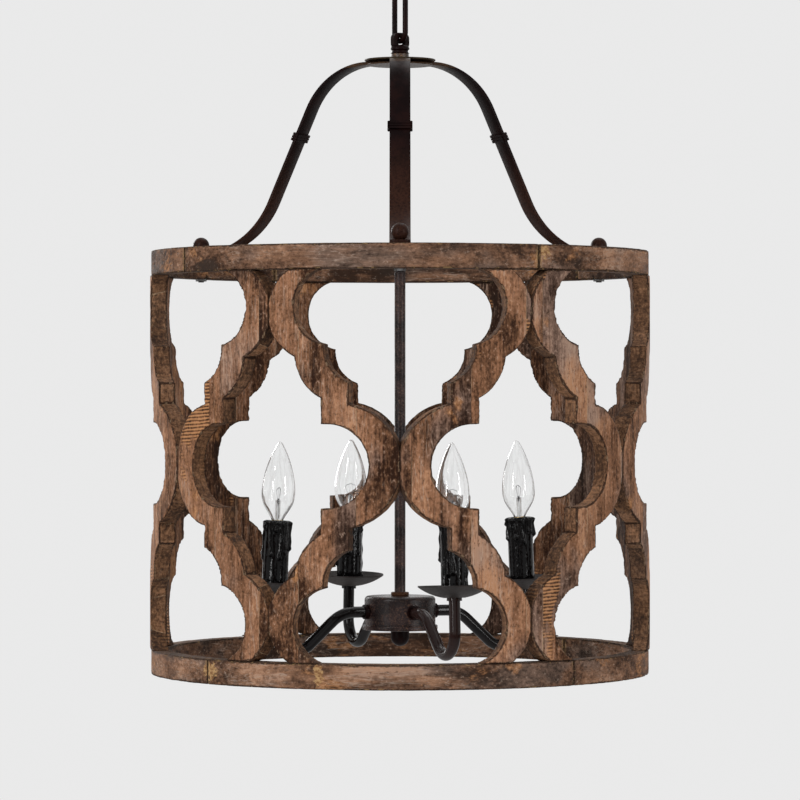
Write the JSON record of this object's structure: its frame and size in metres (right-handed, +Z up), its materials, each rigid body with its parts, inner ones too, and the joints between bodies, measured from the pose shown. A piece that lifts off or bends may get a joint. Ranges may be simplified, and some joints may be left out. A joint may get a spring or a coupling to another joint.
{
  "type": "cylinder chandelier",
  "caption": "Cylindrical wooden lattice chandelier on bent iron straps and a chain, with a candle cluster inside; links swing and bulbs turn in their sockets.",
  "frame": {"origin": "centre of the ceiling crossbar on its upper face, which is the ceiling", "axes": "+Z up into the ceiling, front (one strap towards the viewer) along -Y, +X to the viewer's right"},
  "size_m": [0.5104, 0.5104, 0.8414],
  "materials": {
    "ribbon_wood": "satin, weathered",
    "ring_wood": "satin, weathered",
    "dark_iron": "satin, rubbed brown",
    "gold_brown_iron": "satin, rubbed",
    "mottled_iron": "satin, mottled rust",
    "black_enamel": "gloss",
    "cup_enamel": "matt",
    "black_wax": "gloss",
    "socket_plastic": "matt",
    "brass": "polished",
    "clear_glass": "clear",
    "zinc_steel": "plated",
    "wire_sleeving": "matt"
  },
  "bodies": {
    "ceiling_fitting": {"crossbar": "zinc_steel", "crossbar_nut": "zinc_steel", "canopy": "dark_iron", "canopy_collar": "dark_iron", "canopy_loop": "dark_iron"},
    "link_3": {"chain_link_3": "dark_iron"},
    "link_2": {"chain_link_2": "dark_iron"},
    "link_1": {"chain_link_1": "dark_iron"},
    "fixture": {"ribbon_1": "ribbon_wood", "ribbon_2": "ribbon_wood", "ribbon_3": "ribbon_wood", "ribbon_4": "ribbon_wood", "ribbon_5": "ribbon_wood", "ribbon_6": "ribbon_wood", "ribbon_7": "ribbon_wood", "ribbon_8": "ribbon_wood", "ribbon_9": "ribbon_wood", "ribbon_10": "ribbon_wood", "ribbon_11": "ribbon_wood", "ribbon_12": "ribbon_wood", "top_ring_1": "ring_wood", "bottom_ring_1": "ring_wood", "arm_1": "black_enamel", "top_ring_2": "ring_wood", "bottom_ring_2": "ring_wood", "arm_2": "black_enamel", "top_ring_3": "ring_wood", "bottom_ring_3": "ring_wood", "arm_3": "black_enamel", "top_ring_4": "ring_wood", "bottom_ring_4": "ring_wood", "arm_4": "black_enamel", "strap_1": "dark_iron", "strap_2": "dark_iron", "strap_3": "dark_iron", "strap_bands": "dark_iron", "strap_bolts": "dark_iron", "strap_nuts": "zinc_steel", "hub_top_plate": "dark_iron", "hub_bottom_plate": "dark_iron", "loop_nut": "gold_brown_iron", "fixture_loop": "dark_iron", "stem_tube": "mottled_iron", "canister": "mottled_iron", "canister_lid": "mottled_iron", "finial": "dark_iron", "hub_collars": "dark_iron", "cup_nuts": "black_enamel", "drip_cups": "cup_enamel", "lamp_sockets": "socket_plastic", "candle_sleeves": "black_wax", "wiring": "wire_sleeving"},
    "bulb_1": {"bulb_glass_1": "clear_glass", "bulb_base_1": "brass"},
    "bulb_2": {"bulb_glass_2": "clear_glass", "bulb_base_2": "brass"},
    "bulb_3": {"bulb_glass_3": "clear_glass", "bulb_base_3": "brass"},
    "bulb_4": {"bulb_glass_4": "clear_glass", "bulb_base_4": "brass"}
  },
  "joints": [
    {"name": "link_3_swing", "type": "hinge", "parent": "ceiling_fitting", "child": "link_3", "pos_m": [0, 0, -0.0564], "axis": [0.809, 0.5878, 0], "range_deg": [-20, 20]},
    {"name": "link_2_swing", "type": "hinge", "parent": "link_3", "child": "link_2", "pos_m": [0, 0, -0.1029], "axis": [0.5878, -0.809, 0], "range_deg": [-20, 20]},
    {"name": "link_1_swing", "type": "hinge", "parent": "link_2", "child": "link_1", "pos_m": [0, 0, -0.1494], "axis": [0.809, 0.5878, 0], "range_deg": [-20, 20]},
    {"name": "fixture_swing", "type": "hinge", "parent": "link_1", "child": "fixture", "pos_m": [0, 0, -0.1959], "axis": [0.5878, -0.809, 0], "range_deg": [-20, 20]},
    {"name": "bulb_1_turn", "type": "hinge", "parent": "fixture", "child": "bulb_1", "pos_m": [0.05392, -0.12703, -0.7619], "axis": [-0.017, 0.0402, 0.999], "range_deg": [0, 1080]},
    {"name": "bulb_2_turn", "type": "hinge", "parent": "fixture", "child": "bulb_2", "pos_m": [0.12703, 0.05392, -0.7619], "axis": [-0.0402, -0.017, 0.999], "range_deg": [0, 1080]},
    {"name": "bulb_3_turn", "type": "hinge", "parent": "fixture", "child": "bulb_3", "pos_m": [-0.05392, 0.12703, -0.7619], "axis": [0.017, -0.0402, 0.999], "range_deg": [0, 1080]},
    {"name": "bulb_4_turn", "type": "hinge", "parent": "fixture", "child": "bulb_4", "pos_m": [-0.12703, -0.05392, -0.7619], "axis": [0.0402, 0.017, 0.999], "range_deg": [0, 1080]}
  ]
}
